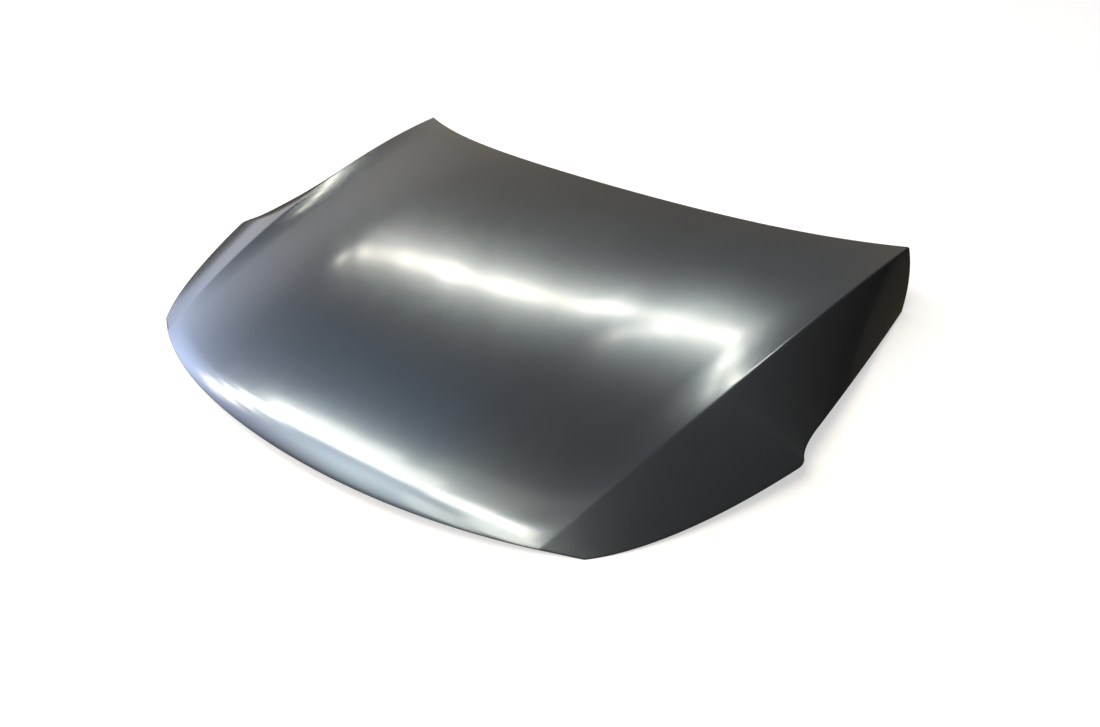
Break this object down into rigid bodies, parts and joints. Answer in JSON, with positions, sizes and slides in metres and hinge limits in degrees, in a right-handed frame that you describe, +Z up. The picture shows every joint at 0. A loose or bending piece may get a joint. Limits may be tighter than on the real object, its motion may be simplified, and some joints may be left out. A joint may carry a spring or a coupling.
{
  "type": "car bonnet",
  "caption": "Bare primed steel car bonnet: crowned outer skin with creased flanks, hemmed round a stamped inner frame with hinge pads and a striker wire.",
  "frame": {"origin": "middle of the footprint, on the surface that the bonnet lies on, outer side up", "axes": "+X towards the car's left side, +Y towards the windscreen edge, +Z up out of the outer skin"},
  "size_m": [1.493, 1.126, 0.1454],
  "materials": {
    "skin_primer": "satin dark grey dipped primer",
    "frame_primer": "satin dark grey dipped primer",
    "wire_steel": "plain steel under thin primer",
    "mastic": "matt cured mastic"
  },
  "bodies": {
    "root": {"outer_skin": "skin_primer", "inner_frame": "frame_primer", "hinge_reinforcement_left": "frame_primer", "hinge_reinforcement_right": "frame_primer", "striker_plate": "frame_primer", "striker_reinforcement": "frame_primer", "striker_wire": "wire_steel", "weld_nut_left_front": "wire_steel", "weld_nut_left_rear": "wire_steel", "weld_nut_right_front": "wire_steel", "weld_nut_right_rear": "wire_steel", "mastic_dab_01": "mastic", "mastic_dab_02": "mastic", "mastic_dab_03": "mastic", "mastic_dab_04": "mastic", "mastic_dab_05": "mastic", "mastic_dab_06": "mastic", "mastic_dab_07": "mastic", "mastic_dab_08": "mastic", "mastic_dab_09": "mastic", "mastic_dab_10": "mastic", "mastic_dab_11": "mastic", "mastic_dab_12": "mastic", "mastic_dab_13": "mastic", "mastic_dab_14": "mastic", "mastic_dab_15": "mastic", "mastic_dab_16": "mastic", "mastic_dab_17": "mastic", "mastic_dab_18": "mastic", "mastic_dab_19": "mastic", "mastic_dab_20": "mastic", "mastic_dab_21": "mastic", "mastic_dab_22": "mastic", "mastic_dab_23": "mastic", "mastic_dab_24": "mastic"}
  },
  "joints": []
}
